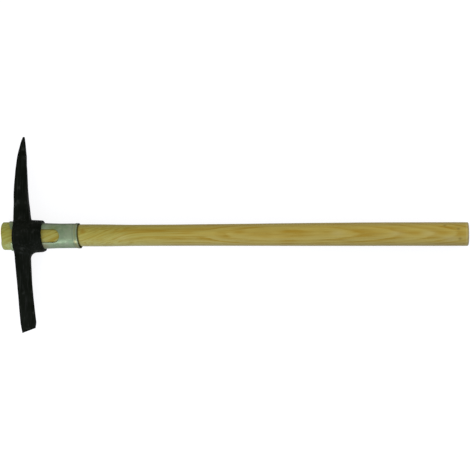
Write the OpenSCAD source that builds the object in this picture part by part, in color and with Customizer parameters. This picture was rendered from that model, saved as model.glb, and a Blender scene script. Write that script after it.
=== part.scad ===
// Slip-on pick axe: forged head, sheet steel eye sleeve and turned ash handle.
// The tool lies on its side. The handle runs along X with the head at -X,
// the pointed arm reaches to +Y and the cutter arm to -Y.

/* [Handle] */
// Length of the handle, which is the length of the whole tool
handle_length = 900; // [750:10:1100]
// Diameter of the straight grip at the butt end
grip_diameter = 44.8; // [38:0.1:52]
// Length of the straight grip
grip_length = 140; // [80:5:250]
// Radial step from the grip down to the waist, the thinnest place
waist_drop = 1.9; // [0.5:0.1:4]
// Length of the slope from the neck down to the waist
waist_run = 85; // [40:5:200]
// Radial step from the grip down to the neck behind the sleeve
neck_drop = 1; // [0.2:0.1:2]
// Length of the straight neck
neck_length = 39; // [20:1:80]
// Slant of the saw cut at the head end
front_slant = 5; // [0:0.5:10]
// Chamfer of the edge at the head end
front_chamfer = 3; // [1:0.5:6]
// Rounding of the edge at the butt end
butt_round = 2.5; // [1:0.5:8]

/* [Sleeve] */
// Thickness of the sheet
sleeve_wall = 0.9; // [0.8:0.1:2]
// Distance of the tongue tips from the head end of the handle
sleeve_front = 17.5; // [12:0.5:22]
// Length of the sleeve
sleeve_length = 137.5; // [125:0.5:180]
// Width of the two slots that part the tongues
slot_width = 25.5; // [10:0.5:32]
// Length of the slots behind the eye
slot_tail = 35.5; // [20:0.5:42]
// Depth of the flared mouths of the slots
mouth_depth = 6.5; // [4:0.5:15]
// Width of the bead at the rear rim
bead_width = 8; // [4:0.5:12]
// Height of the bead
bead_height = 0.8; // [0.4:0.1:1.5]
// Width of the butt seam on the underside
seam_width = 0.5; // [0.3:0.1:1]

/* [Eye] */
// Distance of the eye's front rim from the head end of the handle
eye_front = 27.8; // [20:0.1:34]
// Length of the eye on its axis
eye_length = 56.5; // [45:0.5:65]
// Taper of the eye, as the angle between bore and axis
eye_taper = 3; // [2:0.1:4]
// Thickness of the eye's wall
eye_wall = 6.1; // [3.5:0.1:8]
// Offset of the forging's outside from its bore, towards the cutter
eye_offset = 0.8; // [0:0.1:1.5]
// Lean of the rear rim, which is longer on the cutter's side
rim_lean = 3.5; // [0:0.5:5]
// Rounding of the eye's front rim
rim_round = 2; // [0.5:0.1:3]

/* [Pointed arm] */
// Reach of the point from the middle of the eye
point_reach = 194.2; // [150:0.2:260]
// Depth of the arm at the eye, along the handle
point_root_depth = 33; // [24:0.5:36]
// Thickness of the arm at the eye, across the tool
point_root_thick = 24; // [16:0.5:30]
// Depth of the arm where its nose begins
point_nose_depth = 19.2; // [12:0.2:24]
// Thickness of the arm where its nose begins
point_nose_thick = 16; // [10:0.5:22]
// Length of the nose
point_nose_length = 50; // [30:1:70]
// Breadth of the blunt tip
point_tip = 3; // [1:0.2:6]
// Set-back of the tip towards the butt
point_set_back = 3.6; // [0:0.2:20]
// Bow of the arm towards the front
point_bow = 4.4; // [0:0.2:10]
// Fillet between the arm and the collar
point_fillet = 3; // [2:0.5:10]

/* [Cutter arm] */
// Reach of the middle of the edge from the middle of the eye
cutter_reach = 184; // [140:0.2:250]
// Depth of the arm at the eye, along the handle
cutter_root_depth = 30.2; // [22:0.2:34]
// Depth of the arm at its waist
cutter_waist_depth = 28.8; // [20:0.2:32]
// Depth of the blade at its edge
cutter_edge_depth = 31; // [22:0.2:44]
// Thickness of the arm at the eye, across the tool
cutter_root_thick = 22; // [16:0.5:30]
// Thickness of the blade where the bevels begin
cutter_bevel_thick = 6; // [4:0.5:10]
// Length of the bevels
cutter_bevel = 14; // [8:1:25]
// Thickness of the edge
cutter_edge_thick = 1.2; // [0.8:0.1:2.5]
// Slant of the edge
cutter_slant = 20; // [0:1:30]
// Rounding of the ends of the edge
cutter_corner = 2.5; // [1:0.5:5]
// Set-back of the edge towards the butt
cutter_set_back = 12.5; // [0:0.5:25]
// Bow of the arm towards the front
cutter_bow = 1.1; // [0:0.1:10]
// Fillet between the arm and the collar
cutter_fillet = 13; // [2:0.5:16]

/* [Forging] */
// Distance of the middle of the arms behind the eye's front rim
arm_inset = 13.5; // [11:0.5:22]
// Rounding of the long edges of both arms
arm_round = 5; // [2:0.5:7]
// Fillet between the cheeks of the arms and the eye
cheek_fillet = 10; // [4:0.5:14]

/* [Fits] */
// Gap on each side of the sleeve where the eye clamps it
fit_gap = 0.1; // [0.05:0.05:0.3]
// Radial room for the sleeve to slide over the grip
slip_gap = 0.1; // [0.1:0.05:0.5]
// Radial step from the sleeve's tail up to the rear of the eye's bore
flare_step = 1.3; // [0.6:0.05:2.5]

/* [Hidden] */
$fn = 96;
// How far cuts run past what they cut
overrun = 2;

// Counts of steps on curves and of sections on the arms
arc_steps = 6;
curve_steps = 12;
corner_steps = 3;
root_steps = 10;
arm_steps = 14;
tip_steps = 7;

// Forms of curves, as exponents, an angle and shares of the sizes that they follow
tip_crowding = 1.5;
nose_fullness = 1.6;
bead_sweep = 135;
cutter_waist_share = 0.4;
arm_root_share = 0.7;
arm_round_share = 0.4;
neck_blend_share = 0.5;

// Radii that follow from the grip outwards
grip_r = grip_diameter / 2;
tail_r = grip_r + slip_gap + sleeve_wall;
bore_rear_r = tail_r + flare_step + fit_gap;
eye_rear = eye_front + eye_length;
eye_rear_r = bore_rear_r + eye_wall;
rim_run = eye_rear_r * tan(rim_lean);
sleeve_rear = sleeve_front + sleeve_length;
slot_end = eye_rear + slot_tail;
bead_start = sleeve_rear - bead_width;

// Radii on the shared taper, at a distance from the head end of the handle
function bore_r(s) = bore_rear_r + (eye_rear - s) * tan(eye_taper);
function sleeve_r(s) = bore_r(s) - fit_gap;
function wood_r(s) = sleeve_r(s) - sleeve_wall - fit_gap;
function taper_end(r, wall) = eye_rear + (bore_rear_r - wall - r) / tan(eye_taper);

// Smooth curves
function ease(t) = t * t * (3 - 2 * t);
function mix(a, b, t) = a + (b - a) * t;
function along(a, from, to) = min(1, max(0, (a - from) / (to - from)));
function bezier(a, b, c, t) = mix(mix(a, b, t), mix(b, c, t), t);
function eased_span(r0, s0, r1, s1) =
    [for (k = [1:curve_steps]) [mix(r0, r1, ease(k / curve_steps)), mix(s0, s1, k / curve_steps)]];
function arc(r, s, radius, from, to) =
    [for (k = [0:arc_steps])
        let (a = mix(from, to, k / arc_steps))
        [r + radius * cos(a), s + radius * sin(a)]];
function bend(a, b, c) = [for (k = [0:curve_steps]) bezier(a, b, c, k / curve_steps)];

// Outline of the handle: radius and distance from the head end
neck_r = grip_r - neck_drop;
waist_r = grip_r - waist_drop;
stub_r = wood_r(sleeve_front);
neck_turn = taper_end(neck_r, sleeve_wall + 2 * fit_gap);
neck_start = mix(neck_turn, eye_rear, neck_blend_share);
neck_stop = 2 * neck_turn - neck_start;
neck_end = neck_stop + neck_length;
waist_place = neck_end + waist_run;
grip_start = handle_length - grip_length;
handle_outline = concat(
    [[0, 0], [stub_r, 0], [stub_r, sleeve_front]],
    bend([wood_r(neck_start), neck_start], [neck_r, neck_turn], [neck_r, neck_stop]),
    [[neck_r, neck_end]],
    eased_span(neck_r, neck_end, waist_r, waist_place),
    eased_span(waist_r, waist_place, grip_r, grip_start),
    arc(grip_r - butt_round, handle_length - butt_round, butt_round, 0, 90),
    [[0, handle_length]]);

// Outline of the sheet: the tapered tongues run into the straight tail and its bead
tail_turn = taper_end(tail_r, fit_gap);
tail_start = eye_rear + rim_run;
tail_stop = 2 * tail_turn - tail_start;
tail_curve = bend([sleeve_r(tail_start), tail_start], [tail_r, tail_turn], [tail_r, tail_stop]);
bead_curve = [for (k = [0:curve_steps])
    let (t = k / curve_steps)
    [tail_r + bead_height * sin(bead_sweep * ease(t)), mix(bead_start, sleeve_rear, t)]];
sheet_outside = concat([[sleeve_r(sleeve_front), sleeve_front]], tail_curve, bead_curve);
sheet_inside = [for (k = [len(sheet_outside) - 1:-1:0]) sheet_outside[k] - [sleeve_wall, 0]];

// Outline of the eye's outside
eye_front_r = bore_r(eye_front) + eye_wall;
eye_outline = concat(
    [[0, eye_front]],
    arc(eye_front_r - rim_round, eye_front + rim_round, rim_round, -90, 0),
    [[eye_rear_r - rim_run * tan(eye_taper), eye_rear + rim_run]],
    [[0, eye_rear + rim_run]]);

// Sections of the two arms, which leave the eye at its outside radius behind them
arm_axis = eye_front + arm_inset;
arm_foot = bore_r(arm_axis + point_root_depth / 2) + eye_wall;
function across(radius, offset) = sqrt(max(0, radius * radius - offset * offset));
function fillet(rise, radius) = radius - across(radius, min(radius, max(0, rise)));

// The cheek's fillet runs from the arm's flat side round to the round eye
function cheek_start(half) = across(arm_foot + cheek_fillet, half + cheek_fillet);
function cheek_stop(half) = cheek_start(half) * arm_foot / (arm_foot + cheek_fillet);
function cheek_swell(a, half) = fillet(cheek_start(half) - max(a, cheek_stop(half)), cheek_fillet);

// The rear fillet follows the round eye at each height
function rear_swell(a, height, radius) = fillet(across(arm_foot, height) + radius - a, radius);
function bowed(u, set_back, bow) = arm_axis + set_back * u - 4 * bow * u * (1 - u);

// A rounded rectangle in its own plane: depth along the handle, thickness across the tool
function rounded_section(depth, thick, radius) = [
    for (quarter = [0:3])
        for (k = [0:corner_steps])
            let (a = 90 * (quarter + k / corner_steps))
            let (side = quarter == 0 || quarter == 3 ? 1 : -1)
            let (face = quarter < 2 ? 1 : -1)
            [side * (depth / 2 - radius) + radius * cos(a), face * (thick / 2 - radius) + radius * sin(a)]];
function corner_radius(depth, thick) = min(arm_round, min(depth, thick) * arm_round_share);
function placed_section(s, a, depth, thick, rear_fillet, slope) = [
    for (p = rounded_section(depth, thick, corner_radius(depth, thick)))
        [s + p.x + (p.x > 0 ? rear_swell(a, p.y, rear_fillet) : 0), a - p.x * slope, p.y]];

// Distances from the middle of the eye at which an arm has a section
function stations(reach, half, rear_fillet, tip) =
    let (clear = arm_foot + max(cheek_fillet, rear_fillet))
    concat(
        [arm_foot * arm_root_share],
        [for (k = [0:root_steps]) mix(cheek_stop(half), clear, k / root_steps)],
        [for (k = [1:arm_steps]) mix(clear, reach - tip, k / arm_steps)],
        [for (k = [1:tip_steps]) reach - tip * pow(1 - k / tip_steps, tip_crowding)]);

// Pointed arm: an even taper, then a full nose with a blunt tip
nose_foot = point_reach - point_nose_length;
function nose(a) = 1 - pow(along(a, nose_foot, point_reach), nose_fullness);
function point_size(a, root, start) =
    a < nose_foot ? mix(root, start, along(a, arm_foot, nose_foot)) : mix(point_tip, start, nose(a));
point_half = point_root_thick / 2;
point_sections = [for (a = stations(point_reach, point_half, point_fillet, point_nose_length))
    placed_section(
        bowed(along(a, arm_foot, point_reach), point_set_back, point_bow),
        a,
        point_size(a, point_root_depth, point_nose_depth),
        point_size(a, point_root_thick, point_nose_thick) + 2 * cheek_swell(a, point_half),
        point_fillet,
        0)];

// Cutter arm: it thins to a bevelled edge that lies in line with the handle and slants
bevel_foot = cutter_reach - cutter_bevel;
function cutter_depth(u) =
    u < cutter_waist_share
        ? mix(cutter_waist_depth, cutter_root_depth, pow(1 - u / cutter_waist_share, 2))
        : mix(cutter_waist_depth, cutter_edge_depth, pow(along(u, cutter_waist_share, 1), 2));
function corner_cut(a) = fillet(a - cutter_reach + cutter_corner, cutter_corner);
function cutter_thick(a) =
    a < bevel_foot
        ? mix(cutter_root_thick, cutter_bevel_thick, along(a, arm_foot, bevel_foot))
        : mix(cutter_bevel_thick, cutter_edge_thick, along(a, bevel_foot, cutter_reach));
cutter_half = cutter_root_thick / 2;
cutter_sections = [for (a = stations(cutter_reach, cutter_half, cutter_fillet, cutter_bevel))
    let (u = along(a, arm_foot, cutter_reach))
    placed_section(
        bowed(u, cutter_set_back, cutter_bow),
        a,
        cutter_depth(u) - 2 * corner_cut(a),
        cutter_thick(a) + 2 * cheek_swell(a, cutter_half),
        cutter_fillet,
        tan(cutter_slant) * ease(u))];

// The tool lies on the eye, with the middle of its box over the origin
function outermost(sections) = max([for (section = sections) for (p = section) p.y]);
axis_side = (outermost(cutter_sections) - outermost(point_sections)) / 2 + eye_offset;
axis_height = max([for (p = eye_outline) p.x]);

module on_floor() {
    translate([-handle_length / 2, axis_side, axis_height])
        children();
}

// A solid of revolution about the handle's axis
module turned(outline) {
    rotate([0, 90, 0])
        rotate_extrude()
            polygon(outline);
}

// A solid through a row of sections with equally many points
module loft(sections) {
    rows = len(sections);
    sides = len(sections[0]);
    points = [for (section = sections) each section];
    first = [for (k = [sides - 1:-1:0]) k];
    last = [for (k = [0:sides - 1]) (rows - 1) * sides + k];
    skin = [for (row = [0:rows - 2]) for (k = [0:sides - 1])
        let (next = (k + 1) % sides)
        let (here = row * sides)
        let (beyond = here + sides)
        each [[here + k, beyond + next, beyond + k], [here + k, here + next, beyond + next]]];
    polyhedron(points, concat([first, last], skin), convexity = 4);
}

module arms() {
    loft(point_sections);
    mirror([0, 1, 0])
        loft(cutter_sections);
}

// The eye's outside, cut off at the rear by the leaning rim
module eye_body() {
    reach = 2 * eye_front_r;
    difference() {
        turned(eye_outline);
        translate([eye_rear, 0, 0])
            rotate([0, 0, rim_lean])
                translate([0, -reach / 2, -reach / 2])
                    cube([reach, reach, reach]);
    }
}

module eye_bore() {
    from = eye_front - overrun;
    to = eye_rear + rim_run + overrun;
    translate([from, 0, 0])
        rotate([0, 90, 0])
            cylinder(h = to - from, r1 = bore_r(from), r2 = bore_r(to));
}

// Forged steel head: eye, pointed arm and cutter arm
module pick_head() {
    color("#1b1d18")
        on_floor()
            difference() {
                translate([0, -eye_offset, 0]) {
                    eye_body();
                    arms();
                }
                eye_bore();
            }
}

// Outline of a slot seen from above: a flared mouth, straight sides and a round end
module slot_outline() {
    mouth_half = sleeve_r(sleeve_front);
    slot_half = slot_width / 2;
    polygon([
        [sleeve_front - overrun, mouth_half],
        [sleeve_front, mouth_half],
        [sleeve_front + mouth_depth, slot_half],
        [slot_end - slot_half, slot_half],
        [slot_end - slot_half, -slot_half],
        [sleeve_front + mouth_depth, -slot_half],
        [sleeve_front, -mouth_half],
        [sleeve_front - overrun, -mouth_half]]);
    translate([slot_end - slot_half, 0])
        circle(slot_half);
}

// Rolled sheet sleeve: two tongues through the eye, a round tail and a beaded rim
module eye_sleeve() {
    tall = 2 * sleeve_r(sleeve_front) + overrun;
    seam_start = slot_end - slot_width / 2;
    color("#8f9d86")
        on_floor()
            difference() {
                turned(concat(sheet_outside, sheet_inside));
                translate([0, 0, -tall / 2])
                    linear_extrude(tall)
                        slot_outline();
                translate([seam_start, -seam_width / 2, -tall])
                    cube([sleeve_rear - seam_start + overrun, seam_width, tall]);
            }
}

// What the slanting saw cut and its chamfer take off the handle's head end
module front_cut() {
    flat_r = stub_r - front_chamfer;
    wide = stub_r + overrun;
    depth = wide * sin(front_slant) + overrun;
    translate([flat_r * sin(front_slant), 0, 0])
        rotate([0, front_slant, 0])
            turned([[0, -depth], [wide, -depth], [wide, wide - flat_r], [flat_r, 0], [0, 0]]);
}

// Turned ash handle
module handle() {
    color("#b59f5c")
        on_floor()
            difference() {
                turned(handle_outline);
                front_cut();
            }
}

pick_head();
eye_sleeve();
handle();
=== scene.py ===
"""Looks of a slip-on pick axe: forged black head, galvanised eye sleeve and turned ash handle.

The tool lies on its side on a pale floor, with the handle along X and the pointed arm towards +Y.
The camera looks down on it. Sizes are in metres, apart from those of the materials' figure. These are
in millimetres, from the middle of the tool along X and from the handle's axis across it.
"""

import math

import bmesh
import bpy
import numpy as np
from mathutils import Matrix, Vector, noise


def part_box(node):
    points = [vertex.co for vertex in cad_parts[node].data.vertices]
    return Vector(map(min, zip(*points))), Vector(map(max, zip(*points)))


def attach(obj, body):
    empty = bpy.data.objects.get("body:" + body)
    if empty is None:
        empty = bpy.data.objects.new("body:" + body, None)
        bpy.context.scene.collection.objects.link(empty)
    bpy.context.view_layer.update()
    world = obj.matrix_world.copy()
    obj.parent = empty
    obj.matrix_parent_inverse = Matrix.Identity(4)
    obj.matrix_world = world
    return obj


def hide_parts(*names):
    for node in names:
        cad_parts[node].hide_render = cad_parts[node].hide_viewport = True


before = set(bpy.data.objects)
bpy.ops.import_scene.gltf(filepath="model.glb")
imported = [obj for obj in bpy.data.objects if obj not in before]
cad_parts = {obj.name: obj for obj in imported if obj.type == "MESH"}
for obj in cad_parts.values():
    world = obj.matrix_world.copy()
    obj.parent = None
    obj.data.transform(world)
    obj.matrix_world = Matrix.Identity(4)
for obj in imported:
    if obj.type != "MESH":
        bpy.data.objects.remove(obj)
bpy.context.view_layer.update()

# Millimetres in a metre
MILLIMETRES = 1000

# Places from the frame
head_low, head_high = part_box("pick_head")
sleeve_low, sleeve_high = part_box("eye_sleeve")
handle_low, handle_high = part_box("handle")
axis_y = (handle_low.y + handle_high.y) / 2
axis_z = (handle_low.z + handle_high.z) / 2
stub_radius = (handle_high.y - handle_low.y) / 2

# Camera, read from the photograph's outline
IMAGE_PIXELS = 470
FOCAL_PIXELS = 1308.5
SENSOR_WIDTH = 36
CAMERA_X = 0.25
CAMERA_HEIGHT = 2.5
TARGET_X = 0.00757
ROLL_DEGREES = 0.28

# Light
LAMP_SIZE = (0.35, 0.25)
LAMP_SPREAD_DEGREES = 90
LAMP_AIM_SHARE = 0.7
COOL_LIGHT = (0.93, 0.97, 1.2)
WARM_LIGHT = (0.86, 0.85, 0.84)
WHITE = (1, 1, 1)

# Outlines of the turned pieces
PLACE_DIGITS = 5
SAME_PLACE = 0.00001
OUTLINE_SMOOTHING = 0.006
SMOOTHING_STEPS = 7
PINCH_DEPTH = 0.0004
PINCH_MARGIN = 0.002
PINCH_RUN_IN = 0.018
PINCH_RUN_OUT = 0.005

# Handle
RING_SEGMENTS = 128
RING_STEP = 0.003
FRONT_SLANT_DEGREES = 5
FRONT_SKEW_DEGREES = 1.5
FRONT_EDGE_ROUND = 0.0035
BUTT_EDGE_ROUND = 0.0025
EDGE_STEPS = 6
FACE_RINGS = 8
SHAVE_DEPTH = 0.00012
SHAVE_GAP = 0.004
SHAVE_RUN_IN = 0.06
LUMP_SIZE = 0.018
LUMP_STRETCH = 4
FLAT_SIZE = 0.009
FLAT_STRETCH = 10
FLAT_SHARE = 0.5

# Sleeve
SHEET = 0.0009
SLOT_HALF = 0.01275
SLOT_REACH = 0.1023
MOUTH_DEPTH = 0.0065
SEAM_HALF = 0.00025
RIM_LEAN = math.tan(math.radians(5))
RIM_TIP = math.tan(math.radians(3))
BEAD_WIDTH = 0.008
TONGUE_COLUMNS = 72
SLOT_ROWS = 64
TAIL_ROWS = 44
MERGE_DISTANCE = SHEET / 100
SHEET_EDGE = 0.00035
SHEET_EDGE_STEPS = 2
SHEET_EDGE_DEGREES = 50
DENT_DEPTH = 0.00008
DENT_SIZE = 0.016
FRONT_FILED = 0.0022

# Head
FORGING_VOXEL = 0.0009
FORGING_SMOOTHING = 3
FORGING_SOFTNESS = 0.5
HAMMER_DEPTH = 0.00022
HAMMER_SIZE = 0.016
SCALE_DEPTH = 0.00006
SCALE_SIZE = 0.004
WEAR_START = 0.05
WEAR_SPAN = 0.15
ARM_FOOT = 0.04
ARM_RUN_IN = 0.01
ARM_SWELL = 0.0003

# Uneven stretches of the pointed arm: middle along Y, half length and height
REAR_BULGE = (0.115, 0.045, 0.0007)
FRONT_HOLLOW = (0.059, 0.026, -0.0010)
FRONT_BULGE = (0.184, 0.016, 0.0006)

# Worn corners, seen from above: both ends of a line and its reach, on the cutter from the head's lowest
# corner and on the collar from the middle of its rear
CUTTER_FRONT_WEAR = ((0.01103, 0.02677), (0.01513, 0.00317), 0.016)
CUTTER_EDGE_WEAR = ((0.02213, 0.00277), (0.03773, 0.00857), 0.018)
CUTTER_REAR_WEAR = ((0.04183, 0.01117), (0.04323, 0.02097), 0.012)
COLLAR_WEAR = ((-0.00558, -0.03197), (0.00282, -0.02687), 0.006)

# Dark wood of the growth rings and of the flames that they draw
EARLY_WOOD = (0.33, 0.209, 0.02)


def new_object(name, mesh):
    """A mesh object in the scene."""
    piece = bpy.data.objects.new(name, mesh)
    bpy.context.scene.collection.objects.link(piece)
    return piece


def object_from(build, name):
    """A mesh object made from a finished bmesh."""
    mesh = bpy.data.meshes.new(name)
    build.to_mesh(mesh)
    build.free()
    return new_object(name, mesh)


def apply_modifiers(piece):
    """Turn what the modifiers make into the piece's own mesh."""
    graph = bpy.context.evaluated_depsgraph_get()
    made = bpy.data.meshes.new_from_object(piece.evaluated_get(graph))
    piece.modifiers.clear()
    piece.data = made


def shade_smooth(piece, sharp_degrees):
    """Smooth shading, apart from edges sharper than the angle."""
    piece.data.polygons.foreach_set("use_smooth", [True] * len(piece.data.polygons))
    piece.data.set_sharp_from_angle(angle=math.radians(sharp_degrees))


def point_noise(point, size, seed):
    """Smooth noise from -1 to 1 at a point, with lumps of about this size."""
    return noise.noise(point / size + Vector((seed, 2 * seed, 3 * seed)))


# Materials

class Shader:
    """Short calls for the nodes of one material or world."""

    def __init__(self, owner):
        owner.use_nodes = True
        self.owner = owner
        self.tree = owner.node_tree
        self.surface = self.tree.nodes.get("Principled BSDF")

    def node(self, kind, **settings):
        """A new node with these settings."""
        made = self.tree.nodes.new(kind)
        for name, value in settings.items():
            setattr(made, name, value)
        return made

    def feed(self, socket, value):
        """Link an output to a socket, or set the socket to a plain value."""
        if isinstance(value, bpy.types.NodeSocket):
            self.tree.links.new(value, socket)
        elif value is not None:
            socket.default_value = value

    def set(self, **values):
        """Feed the surface's inputs, whose names have _ for a space."""
        for name, value in values.items():
            self.feed(self.surface.inputs[name.replace("_", " ")], value)

    def place(self):
        """Millimetres along the handle from its middle, and across from its axis."""
        mapping = self.node("ShaderNodeMapping")
        self.feed(mapping.inputs["Vector"], self.node("ShaderNodeTexCoord").outputs["Object"])
        mapping.inputs["Scale"].default_value = (MILLIMETRES, MILLIMETRES, MILLIMETRES)
        mapping.inputs["Location"].default_value = (0, -axis_y * MILLIMETRES, -axis_z * MILLIMETRES)
        return mapping.outputs["Vector"]

    def stretch(self, vector, scale):
        """A vector scaled along each axis."""
        mapping = self.node("ShaderNodeMapping")
        self.feed(mapping.inputs["Vector"], vector)
        mapping.inputs["Scale"].default_value = scale
        return mapping.outputs["Vector"]

    def split(self, vector):
        """The three parts of a vector."""
        made = self.node("ShaderNodeSeparateXYZ")
        self.feed(made.inputs["Vector"], vector)
        return made.outputs["X"], made.outputs["Y"], made.outputs["Z"]

    def join(self, x, y, z):
        """A vector of three parts."""
        made = self.node("ShaderNodeCombineXYZ")
        for socket, value in zip(made.inputs, (x, y, z)):
            self.feed(socket, value)
        return made.outputs["Vector"]

    def math(self, operation, first, second=None, third=None):
        """One calculation with up to three values."""
        made = self.node("ShaderNodeMath", operation=operation)
        for socket, value in zip(made.inputs, (first, second, third)):
            self.feed(socket, value)
        return made.outputs["Value"]

    def times(self, first, second):
        """The product of two values."""
        return self.math("MULTIPLY", first, second)

    def fade(self, value, start, end, before=0.0, after=1.0):
        """Goes smoothly from before to after while the value goes from start to end."""
        made = self.node("ShaderNodeMapRange", interpolation_type="SMOOTHSTEP")
        for name, number in (("Value", value), ("From Min", start), ("From Max", end),
                             ("To Min", before), ("To Max", after)):
            self.feed(made.inputs[name], number)
        return made.outputs["Result"]

    def noise(self, vector, scale, detail=2.0, roughness=0.5, distortion=0.0):
        """Cloudy noise, with one scale for all directions or one for each axis."""
        if isinstance(scale, tuple):
            vector = self.stretch(vector, scale)
            scale = 1.0
        made = self.node("ShaderNodeTexNoise")
        for name, value in (("Vector", vector), ("Scale", scale), ("Detail", detail),
                            ("Roughness", roughness), ("Distortion", distortion)):
            self.feed(made.inputs[name], value)
        return made.outputs["Fac"]

    def crystals(self, vector, scale):
        """A level from 0 to 1 for each flake of a pattern of flat-sided flakes."""
        made = self.node("ShaderNodeTexVoronoi")
        self.feed(made.inputs["Vector"], self.stretch(vector, scale))
        made.inputs["Scale"].default_value = 1.0
        return self.split(made.outputs["Color"])[0]

    def mix(self, factor, first, second, blend="MIX"):
        """Two colours mixed by a factor."""
        made = self.node("ShaderNodeMix", data_type="RGBA", blend_type=blend)
        colours = [socket for socket in made.inputs if socket.type == "RGBA"]
        self.feed(made.inputs["Factor"], factor)
        for socket, value in zip(colours, (first, second)):
            self.feed(socket, (*value, 1) if isinstance(value, tuple) else value)
        return next(socket for socket in made.outputs if socket.type == "RGBA")

    def cover(self, colour, paint, mask, share=None):
        """The colour under a paint, where the mask is 1 and at most by the share."""
        return self.mix(mask if share is None else self.times(mask, share), colour, paint)

    def tint(self, colour, tone, mask=1.0):
        """The colour times a tone, where the mask is 1."""
        return self.mix(mask, colour, tone, "MULTIPLY")

    def ramp(self, factor, stops):
        """Grey levels at stops along a factor from 0 to 1."""
        made = self.node("ShaderNodeValToRGB")
        elements = made.color_ramp.elements
        while len(elements) < len(stops):
            elements.new(1.0)
        for element, (position, level) in zip(elements, stops):
            element.position = position
            element.color = (level, level, level, 1)
        self.feed(made.inputs["Fac"], factor)
        return made.outputs["Color"]

    def spot(self, place, centre, radius, slim=1.0):
        """1 in the middle of a soft patch and 0 outside it. Under 1, slim draws it out along X."""
        made = self.node("ShaderNodeVectorMath", operation="DISTANCE")
        self.feed(made.inputs[0], self.stretch(place, (slim, 1, 1)))
        made.inputs[1].default_value = (centre[0] * slim, centre[1], centre[2])
        return self.fade(made.outputs["Value"], start=radius, end=0.0)

    def attribute(self, name):
        """A value that the mesh keeps at its vertices."""
        return self.node("ShaderNodeAttribute", attribute_name=name).outputs["Fac"]

    def bump(self, height, strength, depth):
        """A normal that a height disturbs, with the depth in metres."""
        made = self.node("ShaderNodeBump")
        self.feed(made.inputs["Height"], height)
        made.inputs["Strength"].default_value = strength
        made.inputs["Distance"].default_value = depth
        return made.outputs["Normal"]

    def background_rays(self):
        """1 for rays that should see the plain white background."""
        path = self.node("ShaderNodeLightPath")
        seen = self.math("MAXIMUM", path.outputs["Is Camera Ray"], path.outputs["Is Glossy Ray"])
        return self.math("MAXIMUM", seen, path.outputs["Is Transmission Ray"])


def behind_rim(shader, place):
    """Millimetres behind the sleeve's rear rim, which leans and tips a little."""
    x, y, z = shader.split(place)
    behind = shader.math("SUBTRACT", x, sleeve_high.x * MILLIMETRES)
    behind = shader.math("MULTIPLY_ADD", y, RIM_LEAN, behind)
    return shader.math("MULTIPLY_ADD", z, RIM_TIP, behind)


def behind_window(shader, place):
    """Millimetres behind the round end of the sleeve's upper slot, which shows the wood."""
    window_end = (sleeve_low.x + SLOT_REACH) * MILLIMETRES
    return shader.math("SUBTRACT", shader.split(place)[0], window_end)


def before_head(shader, place):
    """Millimetres in front of the head, where the wood's stub and the sleeve's tongues stick out."""
    return shader.math("SUBTRACT", head_low.x * MILLIMETRES, shader.split(place)[0])


def along_grain(shader, place):
    """The place without the grain's slant near the head, so that the grain runs along X all the way."""
    slant = 0.4
    slant_end = -190
    blend = 40
    x, y, z = shader.split(place)
    before = shader.math("SMOOTH_MIN", shader.math("SUBTRACT", x, slant_end), 0.0, blend)
    return shader.join(x, shader.math("MULTIPLY_ADD", before, -slant, y), z)


def growth_rings(shader, grain):
    """Number of growth rings out from a pith line that runs above the handle."""
    ring_width = 6.5
    ring_offset = 0.71
    pith_height = 72.5
    pith_side = 7
    bow_middle = 81
    butt_run = 175
    head_run = 97
    head_limit = 1.57
    limit_blend = 0.6
    wander_depth = 5.0
    ragged_depth = 3.2
    x, y, z = shader.split(grain)

    # The rings bow away from the handle's line, so they break its surface in flames
    to_butt = shader.math("MULTIPLY_ADD", x, 1 / butt_run, -bow_middle / butt_run)
    to_butt = shader.math("POWER", shader.math("MAXIMUM", to_butt, 0.0), 2)
    to_head = shader.math("MULTIPLY_ADD", x, 1 / head_run, -bow_middle / head_run)
    to_head = shader.math("POWER", shader.math("MINIMUM", to_head, 0.0), 2)
    bow = shader.math("ADD", to_butt, shader.math("SMOOTH_MIN", to_head, head_limit, limit_blend))
    wander = shader.noise(grain, (0.007, 0.03, 0.03))
    depth = shader.math("MULTIPLY_ADD", bow, ring_width, pith_height)
    depth = shader.math("MULTIPLY_ADD", wander, wander_depth, depth)
    depth = shader.math("POWER", shader.math("SUBTRACT", depth, z), 2)
    side = shader.math("POWER", shader.math("SUBTRACT", y, pith_side), 2)
    from_pith = shader.math("SQRT", shader.math("ADD", depth, side))
    ragged = shader.noise(grain, (0.02, 0.5, 0.5), detail=4.0, roughness=0.6)
    from_pith = shader.math("MULTIPLY_ADD", ragged, ragged_depth, from_pith)
    return shader.math("MULTIPLY_ADD", from_pith, 1 / ring_width, ring_offset)


def early_wood(shader, grain, rings):
    """Share of dark early wood in the grain along the handle."""
    ring_profile = ((0, 0.15), (0.14, 0.95), (0.38, 0.65), (0.7, 0.2), (1, 0.12))
    x = shader.split(grain)[0]
    share = shader.ramp(shader.math("FRACT", rings), ring_profile)
    patchy = shader.noise(grain, (0.016, 0.1, 0.1))
    share = shader.times(share, shader.fade(patchy, start=0.3, end=0.68, before=0.3, after=1.15))

    # The rings are fainter behind the sleeve and in the stub, and clear in the window between them
    behind_sleeve = shader.fade(x, start=-200, end=-130, before=0.7, after=1.0)
    in_window = shader.fade(behind_window(shader, grain), start=-15, end=20, before=1.2, after=0.7)
    in_stub = shader.fade(before_head(shader, grain), start=-30, end=-10, before=1.0, after=0.55)
    share = shader.times(share, shader.math("MAXIMUM", behind_sleeve, in_window))
    share = shader.times(share, in_stub)

    # Fine lines where the rings run with the surface
    lines = shader.fade(shader.noise(grain, (0.004, 0.33, 0.33)), start=0.5, end=0.62)
    lines = shader.times(lines, shader.fade(x, start=-10, end=-60, after=0.7))
    return shader.math("MAXIMUM", share, lines)


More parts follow.
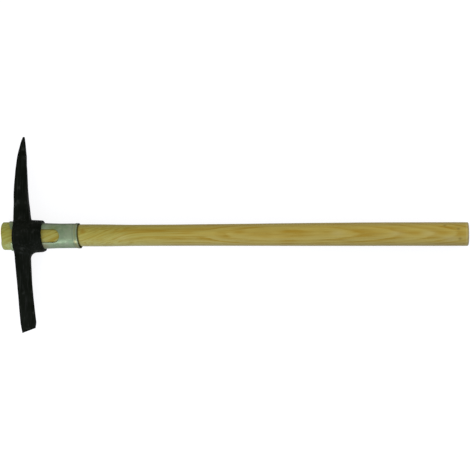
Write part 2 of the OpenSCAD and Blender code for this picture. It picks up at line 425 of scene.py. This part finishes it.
def wood_figure(shader, place, early_share, fibres, pores):
    """Pale wood with its early wood, fibres and pores, and a greener cast towards the head."""
    pale_wood = (0.418, 0.335, 0.083)
    pore_colour = (0.16, 0.1, 0.018)
    head_cast = (0.84, 0.95, 0.93)
    fibre_levels = ((0.25, 0.84), (0.75, 1.12))
    colour = shader.mix(early_share, pale_wood, EARLY_WOOD)
    colour = shader.tint(colour, shader.ramp(fibres, fibre_levels))
    colour = shader.cover(colour, pore_colour, pores, share=0.4)
    x = shader.split(place)[0]
    return shader.tint(colour, head_cast, shader.fade(x, start=60, end=-330))


def flame_tips(shader, place, fibres, colour):
    """Blurred tips of the flames, and the long dark streak before the straight grain."""
    light_flame = (0.425, 0.36, 0.13)
    top_height = 21
    streak_middle = (-176, 9.5, 20)

    # Place along the handle, place across it and share of each tip
    dark_tips = ((-83, 6, 0.5), (17, 6, 0.8), (128, 5, 0.6), (239, 5, 0.5), (351, 2, 0.6), (403, 2, 0.7))
    light_tips = ((-207, -4, 0.3), (205, 3, 0.6), (315, 2, 0.6), (375, 2, 0.6), (416, -9, 0.6))
    for along, across, share in dark_tips:
        tip = shader.spot(place, (along, across, top_height), radius=7, slim=0.3)
        colour = shader.cover(colour, EARLY_WOOD, tip, share)
    for along, across, share in light_tips:
        tip = shader.spot(place, (along, across, top_height), radius=9, slim=0.4)
        colour = shader.cover(colour, light_flame, tip, share)
    streak = shader.spot(place, streak_middle, radius=9, slim=0.11)
    streak = shader.times(streak, shader.fade(fibres, start=0.35, end=0.6, before=0.35, after=0.75))
    return shader.cover(colour, EARLY_WOOD, streak)


def painted_side_light(shader, place, colour):
    """Painted shade and sheen that grey both sides, painted cool light on the cutter's side towards the
    head, and painted warm light on the pointed arm's side.
    """
    shade_and_sheen_wood = (0.27, 0.245, 0.14)
    cool_light_tone = (0.99, 1.03, 1.25)
    warm_light_tone = (1.0, 0.98, 0.84)
    x, y = shader.split(place)[:2]
    # Painted shade and sheen: greyer, darker wood along both sides, behind the window
    side_shade_and_sheen = shader.fade(shader.math("ABSOLUTE", y), start=13, end=22, after=0.4)
    side_shade_and_sheen = shader.times(side_shade_and_sheen, shader.fade(behind_window(shader, place), start=0, end=40))
    colour = shader.cover(colour, shade_and_sheen_wood, side_shade_and_sheen)
    # Painted light: a cool tint on the cutter's side towards the head, then a warm tint on the pointed
    # arm's side
    cool_lit_side = shader.times(shader.fade(y, start=-6, end=-17), shader.fade(x, start=80, end=-60))
    colour = shader.tint(colour, cool_light_tone, cool_lit_side)
    return shader.tint(colour, warm_light_tone, shader.fade(y, start=-8, end=8))


def stain_and_knots(shader, place, colour):
    """A brown stain behind the sleeve and pin knots near the butt."""
    stain_colour = (0.27, 0.165, 0.012)
    stain_middle = (-286, 9, 20)
    knot_colour = (0.22, 0.155, 0.03)
    knots = ((405, 16, 15.7), (430, 9.6, 20.2), (433, -9, 20.5))
    colour = shader.cover(colour, stain_colour, shader.spot(place, stain_middle, radius=9), share=0.8)
    for middle in knots:
        knot = shader.spot(place, middle, radius=4.4, slim=0.8)
        colour = shader.cover(colour, knot_colour, knot, share=0.75)
    return colour


def butt_ring_and_shade(shader, place, colour):
    """A paler ring before the butt, and painted shade on its eased edge."""
    pale_ring_wood = (0.5, 0.43, 0.19)
    eased_edge_shade = (0.27, 0.25, 0.18)
    x = shader.split(place)[0]
    before_butt = shader.math("SUBTRACT", handle_high.x * MILLIMETRES, x)
    rubbed = shader.fade(before_butt, start=7, end=5)
    rubbed = shader.times(rubbed, shader.fade(before_butt, start=2.5, end=4))
    colour = shader.cover(colour, pale_ring_wood, rubbed, share=0.25)
    # Painted shade: a darker, greyer band over the eased edge
    return shader.cover(colour, eased_edge_shade, shader.fade(before_butt, start=3.5, end=1.5, after=0.5))


def head_end_shade_and_tones(shader, place, colour):
    """Painted shadow in the gap behind the sleeve's rim, darker, cooler wood in the sleeve's window, a
    darker, greener stub, and painted light on the stub's sides.
    """
    rim_gap_shade = (0.06, 0.052, 0.011)
    window_tone = (0.9, 0.93, 0.97)
    stub_tone = (0.9, 0.97, 0.86)
    stub_side_light_tone = (1.13, 1.23, 1.65)
    y = shader.split(place)[1]
    behind = behind_rim(shader, place)
    # Painted shadow: a dark band on the wood just behind the sleeve's rear rim
    rim_shade = shader.fade(behind, start=1.2, end=3.4, before=0.8, after=0.0)
    rim_shade = shader.times(rim_shade, shader.fade(behind, start=-4, end=-2))
    colour = shader.cover(colour, rim_gap_shade, rim_shade)
    in_window = shader.fade(behind_window(shader, place), start=10, end=0)
    colour = shader.tint(colour, window_tone, in_window)
    stub = shader.fade(before_head(shader, place), start=-4, end=4)
    colour = shader.tint(colour, stub_tone, stub)
    # Painted light: brighter, bluer sides of the stub
    stub_side_lit = shader.times(stub, shader.fade(shader.math("ABSOLUTE", y), start=8, end=20))
    return shader.tint(colour, stub_side_light_tone, stub_side_lit)


def end_grain_colour(shader, place, rings, saw):
    """End grain with the rings across it, pricked with pores and crossed by the marks of the saw."""
    pale_end = (0.3, 0.235, 0.085)
    dark_end = (0.13, 0.085, 0.022)
    lines_per_ring = 2.0
    line_profile = ((0, 0.1), (0.16, 0.8), (0.34, 0.8), (0.6, 0.1), (1, 0.1))
    saw_levels = ((0.3, 0.75), (0.7, 1.1))
    lines = shader.ramp(shader.math("FRACT", shader.times(rings, lines_per_ring)), line_profile)
    speckle = shader.fade(shader.noise(place, 1.4), start=0.45, end=0.6, before=0.45)
    colour = shader.mix(shader.times(lines, speckle), pale_end, dark_end)
    return shader.tint(colour, shader.ramp(saw, saw_levels))


def ash_wood():
    """Ash with flames of early wood, painted shade and sheen greying its sides, painted shade behind the
    sleeve's rim and a stain behind the sleeve.
    """
    pore_depth = -0.6
    fibre_height = 0.5
    shader = Shader(bpy.data.materials.new("ash_wood"))
    place = shader.place()
    grain = along_grain(shader, place)
    rings = growth_rings(shader, grain)
    early_share = early_wood(shader, grain, rings)
    fibres = shader.noise(grain, (0.012, 0.55, 0.55), detail=4.0, roughness=0.65)
    pores = shader.fade(shader.noise(grain, (0.14, 3.4, 3.4), detail=1.0), start=0.62, end=0.7)
    pores = shader.times(pores, early_share)
    colour = wood_figure(shader, place, early_share, fibres, pores)
    colour = flame_tips(shader, place, fibres, colour)
    colour = painted_side_light(shader, place, colour)
    colour = stain_and_knots(shader, place, colour)
    colour = butt_ring_and_shade(shader, place, colour)
    colour = head_end_shade_and_tones(shader, place, colour)

    # The sawn ends, where the surface faces along the handle
    facing = shader.split(shader.node("ShaderNodeNewGeometry").outputs["Normal"])[0]
    sawn = shader.fade(shader.math("ABSOLUTE", facing), start=0.75, end=0.97)
    saw = shader.noise(place, (0.02, 0.9, 0.06), detail=3.0)
    colour = shader.cover(colour, end_grain_colour(shader, place, rings, saw), sawn, share=0.85)
    height = shader.math("MULTIPLY_ADD", pores, pore_depth, shader.times(fibres, fibre_height))
    height = shader.math("MULTIPLY_ADD", saw, sawn, height)
    dry = shader.math("ADD", fibres, sawn)
    shader.set(
        Base_Color=colour,
        Roughness=shader.fade(dry, start=0.2, end=1.4, before=0.45, after=0.75),
        Specular_IOR_Level=0.08,
        Normal=shader.bump(height, strength=0.35, depth=0.0004))
    return shader.owner


def bead_wear_shade_and_highlight(shader, place, behind, colour):
    """Painted shade in the crease at the bead's foot, the bead's worn crest and one painted highlight on
    it.
    """
    foot_shade_colour = (0.06, 0.075, 0.05)
    foot_shade_gap = 0.8
    foot_shade_middle = -BEAD_WIDTH * MILLIMETRES - foot_shade_gap
    foot_shade_half = 0.9
    crest_colour = (0.2, 0.205, 0.08)
    bead_highlight_colour = (0.46, 0.44, 0.22)
    bead_highlight_middle = (-300, -12, 22)
    # Painted shade: a dark line in the crease at the bead's foot
    line = shader.math("COMPARE", behind, foot_shade_middle, foot_shade_half)
    colour = shader.cover(colour, foot_shade_colour, line, share=0.3)
    crest = shader.times(shader.fade(behind, start=-7, end=-5), shader.fade(behind, start=-1.5, end=-3.5))
    colour = shader.cover(colour, crest_colour, crest, share=0.55)
    # Painted highlight: one bright spot on the bead's lower side
    return shader.cover(colour, bead_highlight_colour, shader.spot(place, bead_highlight_middle, radius=5), share=0.7)


def sheet_patches_shade_and_light(shader, place, behind, colour):
    """Rubbed and olive patches beside the window, painted shade along the tail's upper and lower sides and
    on the upper tongue, and painted light on the lower tongue.
    """
    rubbed_colour = (0.21, 0.185, 0.1)
    rubbed_middle = (-361, -17, 14)
    olive_colour = (0.15, 0.19, 0.065)
    olive_middle = (-343, 14, 19)
    upper_side_shade_colour = (0.085, 0.1, 0.06)
    lower_side_shade_colour = (0.11, 0.115, 0.08)
    upper_tongue_shade_tone = (0.75, 0.7, 0.55)
    lower_tongue_light_tone = (1.4, 1.33, 1.2)
    lower_bead_tone = (0.94, 0.85, 0.8)
    collar_end = head_high.x * MILLIMETRES
    tail_run_in = 8
    x, y = shader.split(place)[:2]
    colour = shader.cover(colour, rubbed_colour, shader.spot(place, rubbed_middle, radius=13), share=0.85)
    olive = shader.spot(place, olive_middle, radius=12, slim=0.7)
    colour = shader.cover(colour, olive_colour, olive, share=0.7)
    tail = shader.fade(x, start=collar_end - tail_run_in, end=collar_end)
    # Painted shade: darker sheet along the tail's upper and lower sides
    upper_side_shade = shader.times(tail, shader.fade(y, start=19, end=24))
    colour = shader.cover(colour, upper_side_shade_colour, upper_side_shade, share=0.75)
    lower_side_shade = shader.times(tail, shader.fade(y, start=-18, end=-24))
    colour = shader.cover(colour, lower_side_shade_colour, lower_side_shade, share=0.25)
    tongue = shader.fade(before_head(shader, place), start=-25, end=-15)
    # Painted shade: a darker, olive upper tongue
    upper_tongue_shade = shader.times(tongue, shader.fade(y, start=-10, end=5, after=0.6))
    colour = shader.tint(colour, upper_tongue_shade_tone, upper_tongue_shade)
    # Painted light: a brighter lower tongue
    lower_tongue_lit = shader.times(tongue, shader.fade(y, start=-5, end=-15))
    colour = shader.tint(colour, lower_tongue_light_tone, lower_tongue_lit)
    lower_bead = shader.times(shader.fade(behind, start=-10, end=-8), shader.fade(y, start=-8, end=-18))
    return shader.tint(colour, lower_bead_tone, lower_bead)


def galvanised_sheet():
    """Dull zinc on sheet steel: faint spangle, rolling streaks, stains, a worn bead with painted shade and
    a painted highlight, and painted shade and light on the sides and tongues.
    """
    dark_zinc = (0.105, 0.168, 0.086)
    light_zinc = (0.262, 0.308, 0.188)
    grey_zinc = (0.215, 0.22, 0.165)
    stain_colour = (0.12, 0.125, 0.07)
    spangle_share = 0.3
    cloud_share = 0.45
    streak_share = 0.25
    shader = Shader(bpy.data.materials.new("galvanised_sheet"))
    place = shader.place()
    spangle = shader.crystals(place, (0.128, 0.16, 0.16))
    cloud = shader.noise(place, 0.06, detail=3.0)
    streak = shader.noise(place, (0.05, 1.3, 1.3), detail=3.0)
    tone = shader.math("MULTIPLY_ADD", spangle, spangle_share, shader.times(cloud, cloud_share))
    tone = shader.math("MULTIPLY_ADD", streak, streak_share, tone)
    colour = shader.mix(tone, dark_zinc, light_zinc)
    grey = shader.fade(shader.noise(place, 0.09, distortion=1.0), start=0.5, end=0.7)
    colour = shader.cover(colour, grey_zinc, grey, share=0.4)
    stain = shader.fade(shader.noise(place, 0.11, detail=4.0, roughness=0.6), start=0.58, end=0.75)
    colour = shader.cover(colour, stain_colour, stain, share=0.3)
    behind = behind_rim(shader, place)
    colour = bead_wear_shade_and_highlight(shader, place, behind, colour)
    colour = sheet_patches_shade_and_light(shader, place, behind, colour)
    scratches = shader.noise(place, (2.5, 0.12, 0.12))
    shader.set(
        Base_Color=colour,
        Metallic=0.4,
        Roughness=shader.fade(tone, start=0.2, end=0.8, before=0.48, after=0.38),
        Specular_IOR_Level=0.2,
        Specular_Tint=(0.15, 0.15, 0.15, 1),
        Normal=shader.bump(shader.math("ADD", scratches, streak), strength=0.12, depth=0.0002))
    return shader.owner


def black_paint():
    """Matte black paint on a rough forging, rubbed a little on its proud edges."""
    deep_black = (0.0015, 0.0024, 0.0008)
    soft_black = (0.0036, 0.0048, 0.0024)
    rubbed_colour = (0.03, 0.03, 0.024)
    streak_colour = (0.013, 0.014, 0.011)
    smudge_colour = (0.02, 0.022, 0.017)
    shader = Shader(bpy.data.materials.new("painted_forging"))
    place = shader.place()
    blotch = shader.noise(place, 0.035, detail=4.0, roughness=0.6)
    grit = shader.noise(place, 1.6, detail=3.0, roughness=0.6)
    colour = shader.mix(shader.fade(blotch, start=0.3, end=0.7), deep_black, soft_black)
    rubbed = shader.times(shader.attribute("wear"), shader.fade(grit, start=0.4, end=0.65))
    colour = shader.cover(colour, rubbed_colour, rubbed, share=0.3)
    streak = shader.fade(shader.noise(place, (0.5, 0.018, 0.5), detail=3.0), start=0.52, end=0.72)
    colour = shader.cover(colour, streak_colour, streak, share=0.7)
    smudge = shader.fade(shader.noise(place, 0.07, detail=3.0), start=0.58, end=0.74)
    colour = shader.cover(colour, smudge_colour, smudge, share=0.8)
    shader.set(
        Base_Color=colour,
        Roughness=shader.fade(blotch, start=0.3, end=0.7, before=0.78, after=0.6),
        Specular_IOR_Level=0.045,
        Normal=shader.bump(grit, strength=0.3, depth=0.0004))
    return shader.owner


# Outlines of the turned pieces, from the frame

def turned_outline(node):
    """Places along X and the outside radius there, of a CAD node that was turned about the axis."""
    radii = {}
    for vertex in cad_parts[node].data.vertices:
        out = Vector((0, vertex.co.y - axis_y, vertex.co.z - axis_z))
        if vertex.normal.dot(out) > 0:
            place = round(vertex.co.x, PLACE_DIGITS)
            radii[place] = max(out.length, radii.get(place, 0))
    places = sorted(radii)
    return np.array(places), np.array([radii[place] for place in places])


def wood_outline():
    """The outline of the CAD handle, with its stub drawn straight on to the sleeve's front."""
    places, radii = turned_outline("handle")
    behind_stub = places >= sleeve_low.x - SAME_PLACE
    before_butt = places <= handle_high.x - BUTT_EDGE_ROUND + SAME_PLACE
    keep = behind_stub & before_butt
    return np.concatenate([[handle_low.x], places[keep]]), np.concatenate([[stub_radius], radii[keep]])


smoothing_offsets = np.linspace(-OUTLINE_SMOOTHING, OUTLINE_SMOOTHING, SMOOTHING_STEPS)
wood_places, wood_radii = wood_outline()
sleeve_places, sleeve_radii = turned_outline("eye_sleeve")


def pinch(place):
    """How far sheet and wood are squeezed in behind the eye."""
    start = head_high.x - PINCH_MARGIN
    end = sleeve_high.x - PINCH_MARGIN
    places = [start - PINCH_RUN_IN, start, end, end + PINCH_RUN_OUT]
    return PINCH_DEPTH * float(np.interp(place, places, [0, 1, 1, 0]))


def wood_radius(place):
    """Radius of the wood at a place along X, with its creases smoothed."""
    near = place + smoothing_offsets
    return float(np.mean(np.interp(near, wood_places, wood_radii))) - pinch(place)


def sleeve_radius(place):
    """Outside radius of the sheet at a place along X, with its creases before the bead smoothed."""
    bead_foot = sleeve_high.x - BEAD_WIDTH
    near = place
    if place <= bead_foot:
        near = np.clip(place + smoothing_offsets, sleeve_low.x, bead_foot)
    return float(np.mean(np.interp(near, sleeve_places, sleeve_radii))) - pinch(place)


# Handle

def handle_bow(place):
    """How far the handle strays to the side: it leans in the sleeve and bends a little behind it."""
    neck = -0.2
    belly = 0.15
    grip = 0.3
    places = [handle_low.x, head_high.x, sleeve_high.x, neck, belly, grip, handle_high.x]
    strays = [0, 0, 0.0008, 0.0002, 0.0004, 0.0003, -0.0003]
    return float(np.interp(place, places, strays))


def shave(point):
    """Hand-shaved unevenness of the wood, none where the sleeve grips it."""
    behind = point.x - sleeve_high.x - SHAVE_GAP
    if behind < 0:
        return 0
    lumps = point_noise(Vector((point.x / LUMP_STRETCH, point.y, point.z)), LUMP_SIZE, seed=5)
    flats = point_noise(Vector((point.x / FLAT_STRETCH, point.y, point.z)), FLAT_SIZE, seed=9)
    return SHAVE_DEPTH * min(1, behind / SHAVE_RUN_IN) * (lumps + FLAT_SHARE * flats)


def front_plane(y, z):
    """X of the slanting, wavy saw cut at the head end, furthest forward low on the pointed arm's side."""
    reach = stub_radius - FRONT_EDGE_ROUND
    slant = math.tan(math.radians(FRONT_SLANT_DEGREES)) * (z - axis_z + reach)
    skew = math.tan(math.radians(FRONT_SKEW_DEGREES)) * (axis_y + reach - y)
    across = [-0.024, -0.016, -0.008, -0.002, 0.004, 0.017, 0.023]
    waves = [-0.0008, -0.0009, 0.0006, 0.0004, -0.0003, -0.0009, -0.0006]
    wave = float(np.interp(y - axis_y, across, waves)) * max(0, z - axis_z) / reach
    return handle_low.x + slant + skew + wave


def handle_rings():
    """Rows of points round the handle, from the middle of the sawn front to the middle of the butt."""
    angles = [2 * math.pi * k / RING_SEGMENTS for k in range(RING_SEGMENTS)]
    edge_turns = [math.pi / 2 * k / EDGE_STEPS for k in range(EDGE_STEPS + 1)]
    rings = []

    def front_ring(ring_radius, back):
        """A ring on the sawn front, or this far behind it."""
        ring = []
        for angle in angles:
            y = axis_y + ring_radius * math.cos(angle)
            z = axis_z + ring_radius * math.sin(angle)
            ring.append(Vector((front_plane(y, z) + back, y, z)))
        rings.append(ring)

    def side_ring(place, ring_radius):
        """A ring across the handle at a place along X."""
        ring = []
        for angle in angles:
            out = Vector((0, math.cos(angle), math.sin(angle)))
            point = Vector((place, axis_y, axis_z)) + out * ring_radius
            point += out * shave(point) + Vector((0, handle_bow(place), 0))
            ring.append(point)
        rings.append(ring)

    flat = stub_radius - FRONT_EDGE_ROUND
    for k in range(1, FACE_RINGS):
        front_ring(flat * k / FACE_RINGS, 0)
    for turn in edge_turns:
        front_ring(flat + FRONT_EDGE_ROUND * math.sin(turn), FRONT_EDGE_ROUND * (1 - math.cos(turn)))
    start = sleeve_low.x
    straight_end = handle_high.x - BUTT_EDGE_ROUND
    count = round((straight_end - start) / RING_STEP)
    for k in range(count + 1):
        place = start + (straight_end - start) * k / count
        side_ring(place, wood_radius(place))
    butt_radius = wood_radius(straight_end)
    for turn in edge_turns[1:]:
        side_ring(straight_end + BUTT_EDGE_ROUND * math.sin(turn),
                  butt_radius - BUTT_EDGE_ROUND * (1 - math.cos(turn)))
    flat = butt_radius - BUTT_EDGE_ROUND
    for k in range(FACE_RINGS - 1, 0, -1):
        side_ring(handle_high.x, flat * k / FACE_RINGS)
    return rings


def make_handle():
    """The ash handle: rings of points joined into one skin and closed at both ends."""
    build = bmesh.new()
    rows = [[build.verts.new(point) for point in ring] for ring in handle_rings()]
    for row, following in zip(rows, rows[1:]):
        for k in range(RING_SEGMENTS):
            after = (k + 1) % RING_SEGMENTS
            build.faces.new((row[k], row[after], following[after], following[k]))
    for row in (rows[0], rows[-1]):
        middle = build.verts.new(sum((vertex.co for vertex in row), Vector()) / RING_SEGMENTS)
        for k in range(RING_SEGMENTS):
            build.faces.new((row[k], row[(k + 1) % RING_SEGMENTS], middle))
    bmesh.ops.recalc_face_normals(build, faces=build.faces)
    piece = object_from(build, "ash_handle")
    shade_smooth(piece, sharp_degrees=50)
    piece.data.materials.append(ash_wood())
    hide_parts("handle")
    return piece


# Sleeve

def slot_opening(place):
    """Half width of the slots at a place along X: a flared mouth, straight sides and a round end."""
    from_front = place - sleeve_low.x
    mouth_half = sleeve_radius(sleeve_low.x) - SHEET
    if from_front < MOUTH_DEPTH:
        return mouth_half + (SLOT_HALF - mouth_half) * from_front / MOUTH_DEPTH
    into_round = from_front - (SLOT_REACH - SLOT_HALF)
    if into_round <= 0:
        return SLOT_HALF
    if into_round >= SLOT_HALF:
        return 0
    return math.sqrt(SLOT_HALF ** 2 - into_round ** 2)


def sleeve_rows():
    """Places along X of the sheet's rows, closer together towards the slots' round ends."""
    slot_end = sleeve_low.x + SLOT_REACH
    rows = [sleeve_low.x + SLOT_REACH * math.sin(math.pi / 2 * k / SLOT_ROWS) for k in range(SLOT_ROWS)]
    rows += [slot_end + (sleeve_high.x - slot_end) * k / TAIL_ROWS for k in range(TAIL_ROWS + 1)]
    return rows


def tongue_point(place, share, side):
    """A point on one side of the sheet's outside, a share of the way from the lower slot to the upper."""
    radius = sleeve_radius(place)
    upper = math.asin(min(1, slot_opening(place) / radius))
    under = math.asin(min(1, max(slot_opening(place), SEAM_HALF) / radius))
    angle = -math.pi / 2 + under + share * (math.pi - under - upper)
    out = Vector((0, side * math.cos(angle), math.sin(angle)))
    point = Vector((place, axis_y, axis_z)) + out * radius
    if place > head_high.x:
        point += out * DENT_DEPTH * point_noise(point, DENT_SIZE, seed=3)
        back = (place - head_high.x) / (sleeve_high.x - head_high.x)
        point.x -= back * (RIM_LEAN * (point.y - axis_y) + RIM_TIP * (point.z - axis_z))
    if place < head_low.x:
        ahead = (head_low.x - place) / (head_low.x - sleeve_low.x)
        point.x += ahead * FRONT_FILED * (1 - (point.y - axis_y) / stub_radius)
    return point


def make_sleeve():
    """The sheet sleeve: two halves that meet behind the slots, thickened inwards, with rounded edges."""
    rows = sleeve_rows()
    build = bmesh.new()
    for side in (1, -1):
        grid = [[build.verts.new(tongue_point(place, k / TONGUE_COLUMNS, side))
                 for k in range(TONGUE_COLUMNS + 1)] for place in rows]
        for row, following in zip(grid, grid[1:]):
            for k in range(TONGUE_COLUMNS):
                corners = (row[k], following[k], following[k + 1], row[k + 1])
                build.faces.new(corners if side > 0 else corners[::-1])
    bmesh.ops.remove_doubles(build, verts=build.verts, dist=MERGE_DISTANCE)
    piece = object_from(build, "zinc_sleeve")
    thickness = piece.modifiers.new("thickness", "SOLIDIFY")
    thickness.thickness = SHEET
    thickness.offset = -1
    edges = piece.modifiers.new("edges", "BEVEL")
    edges.width = SHEET_EDGE
    edges.segments = SHEET_EDGE_STEPS
    edges.limit_method = "ANGLE"
    edges.angle_limit = math.radians(SHEET_EDGE_DEGREES)
    apply_modifiers(piece)
    shade_smooth(piece, sharp_degrees=40)
    piece.data.materials.append(galvanised_sheet())
    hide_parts("eye_sleeve")
    return piece


# Head

def mark_wear(mesh):
    """How proud each vertex stands of its neighbours, kept for the paint."""
    proud = np.zeros(len(mesh.vertices))
    counts = np.zeros(len(mesh.vertices))
    for edge in mesh.edges:
        first, second = (mesh.vertices[k] for k in edge.vertices)
        across = second.co - first.co
        proud[first.index] -= across.dot(first.normal)
        proud[second.index] += across.dot(second.normal)
        counts[first.index] += 1
        counts[second.index] += 1
    proud /= np.maximum(counts, 1) * FORGING_VOXEL
    wear = np.clip((proud - WEAR_START) / WEAR_SPAN, 0, 1)
    mesh.attributes.new("wear", "FLOAT", "POINT").data.foreach_set("value", wear.astype(np.float32))


def forged_swell(point, normal):
    """How far a point of an arm's front or rear edge stands out of the even outline, along X."""
    swell = ARM_SWELL * min(1, max(0, abs(point.y) - ARM_FOOT) / ARM_RUN_IN)
    stretches = (REAR_BULGE,) if normal.x > 0 else (FRONT_HOLLOW, FRONT_BULGE)
    for middle, half_length, height in stretches:
        away = abs(point.y - middle) / half_length
        if away < 1:
            swell += height * math.cos(math.pi / 2 * away) ** 2
    return swell * normal.x


def worn_lines():
    """Both ends of the lines, seen from above, to which the head's corners are worn, and their reach."""
    cutter = Vector((head_low.x, head_low.y))
    collar = Vector((head_high.x, axis_y))
    wears = [(cutter, CUTTER_FRONT_WEAR), (cutter, CUTTER_EDGE_WEAR), (cutter, CUTTER_REAR_WEAR),
             (collar, COLLAR_WEAR)]
    return [(corner + Vector(start), corner + Vector(end), reach) for corner, (start, end, reach) in wears]


def worn_back(point, lines):
    """A point of the head, moved back to each of the lines that it lies beyond."""
    for start, end, reach in lines:
        if (point.xy - (start + end) / 2).length < reach:
            along = (end - start).normalized()
            out = Vector((along.y, -along.x, 0))
            point = point - out * max(0, (point.xy - start).dot(out.xy))
    return point


def make_head():
    """The forged head: the CAD solid in an even mesh, softened, hammered, swollen and worn."""
    piece = new_object("forged_head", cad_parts["pick_head"].data.copy())
    piece.data.materials.clear()
    remesh = piece.modifiers.new("even", "REMESH")
    remesh.mode = "VOXEL"
    remesh.voxel_size = FORGING_VOXEL
    fit = piece.modifiers.new("fit", "SHRINKWRAP")
    fit.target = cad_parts["pick_head"]
    smooth = piece.modifiers.new("soft", "SMOOTH")
    smooth.factor = FORGING_SOFTNESS
    smooth.iterations = FORGING_SMOOTHING
    apply_modifiers(piece)
    mesh = piece.data
    mark_wear(mesh)
    lines = worn_lines()
    places = []
    for vertex in mesh.vertices:
        hammer = point_noise(vertex.co, HAMMER_SIZE, seed=1) * HAMMER_DEPTH
        scale = point_noise(vertex.co, SCALE_SIZE, seed=2) * SCALE_DEPTH
        place = vertex.co + vertex.normal * (hammer + scale - HAMMER_DEPTH / 2)
        place.x += forged_swell(vertex.co, vertex.normal)
        places.append(worn_back(place, lines))
    mesh.vertices.foreach_set("co", np.array(places).ravel())
    mesh.update()
    shade_smooth(piece, sharp_degrees=180)
    mesh.materials.append(black_paint())
    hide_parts("pick_head")
    return piece


# Stage, light and camera

def make_floor():
    """A pale floor that reads as white and keeps a faint shadow."""
    half = 6
    bounce = (0.06, 0.06, 0.06, 1)
    shadow = (0.22, 0.22, 0.22, 1)
    glow_strength = 0.85
    mesh = bpy.data.meshes.new("floor")
    corners = [(-half, -half, 0), (half, -half, 0), (half, half, 0), (-half, half, 0)]
    mesh.from_pydata(corners, [], [(0, 1, 2, 3)])
    floor = new_object("floor", mesh)
    shader = Shader(bpy.data.materials.new("pale_floor"))
    shader.tree.nodes.remove(shader.surface)
    plain = shader.node("ShaderNodeBsdfDiffuse")
    plain.inputs["Color"].default_value = bounce
    shaded = shader.node("ShaderNodeBsdfDiffuse")
    shaded.inputs["Color"].default_value = shadow
    glow = shader.node("ShaderNodeEmission")
    glow.inputs["Strength"].default_value = glow_strength
    seen = shader.node("ShaderNodeAddShader")
    shader.feed(seen.inputs[0], shaded.outputs["BSDF"])
    shader.feed(seen.inputs[1], glow.outputs["Emission"])
    choose = shader.node("ShaderNodeMixShader")
    shader.feed(choose.inputs["Fac"], shader.background_rays())
    shader.feed(choose.inputs[1], plain.outputs["BSDF"])
    shader.feed(choose.inputs[2], seen.outputs["Shader"])
    shader.feed(shader.tree.nodes["Material Output"].inputs["Surface"], choose.outputs["Shader"])
    mesh.materials.append(shader.owner)


def make_world():
    """Soft even light, cooler from the cutter's side, and plain white where the background shows."""
    shader = Shader(bpy.data.worlds.new("studio"))
    direction = shader.node("ShaderNodeTexCoord").outputs["Generated"]

    # From 0 on the cutter's side to 1 on the pointed arm's
    across = shader.math("MULTIPLY_ADD", shader.split(direction)[1], 0.5, 0.5)
    light = shader.mix(across, COOL_LIGHT, WARM_LIGHT)
    seen = shader.mix(shader.background_rays(), light, WHITE)
    shader.feed(shader.tree.nodes["Background"].inputs["Color"], seen)
    bpy.context.scene.world = shader.owner


def make_lamp(name, place, watts, colour):
    """A soft box that faces its end of the tool."""
    light = bpy.data.lights.new(name, "AREA")
    light.shape = "RECTANGLE"
    light.size, light.size_y = LAMP_SIZE
    light.energy = watts
    light.spread = math.radians(LAMP_SPREAD_DEGREES)
    light.color = colour
    lamp = bpy.data.objects.new(name, light)
    bpy.context.scene.collection.objects.link(lamp)
    lamp.location = place
    towards = Vector((place[0] * LAMP_AIM_SHARE, axis_y, axis_z)) - Vector(place)
    lamp.rotation_euler = towards.to_track_quat("-Z", "Y").to_euler()


def make_camera():
    """The photograph's view: from above, standing towards the butt, with a slight roll."""
    eye = Vector((CAMERA_X, axis_y, axis_z + CAMERA_HEIGHT))
    forward = (Vector((TARGET_X, axis_y, axis_z)) - eye).normalized()
    right = forward.cross(Vector((0, 1, 0))).normalized()
    up = right.cross(forward)
    roll = math.radians(ROLL_DEGREES)
    across = right * math.cos(roll) - up * math.sin(roll)
    upwards = right * math.sin(roll) + up * math.cos(roll)
    turn = Matrix((across, upwards, -forward)).transposed().to_4x4()
    lens = bpy.data.cameras.new("photo_view")
    lens.sensor_width = SENSOR_WIDTH
    lens.lens = FOCAL_PIXELS / IMAGE_PIXELS * SENSOR_WIDTH
    camera = bpy.data.objects.new("photo_view", lens)
    bpy.context.scene.collection.objects.link(camera)
    camera.matrix_world = Matrix.Translation(eye) @ turn
    bpy.context.scene.camera = camera


for part in (make_handle(), make_sleeve(), make_head()):
    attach(part, "root")
make_floor()
make_world()
make_lamp("head_side", place=(-0.5, -0.62, 0.46), watts=0.6, colour=(0.9, 0.97, 1.15))
make_lamp("butt_side", place=(0.55, 0.7, 0.5), watts=0.24, colour=(1.1, 1.0, 0.85))
make_camera()
bpy.context.scene.view_settings.view_transform = "Standard"
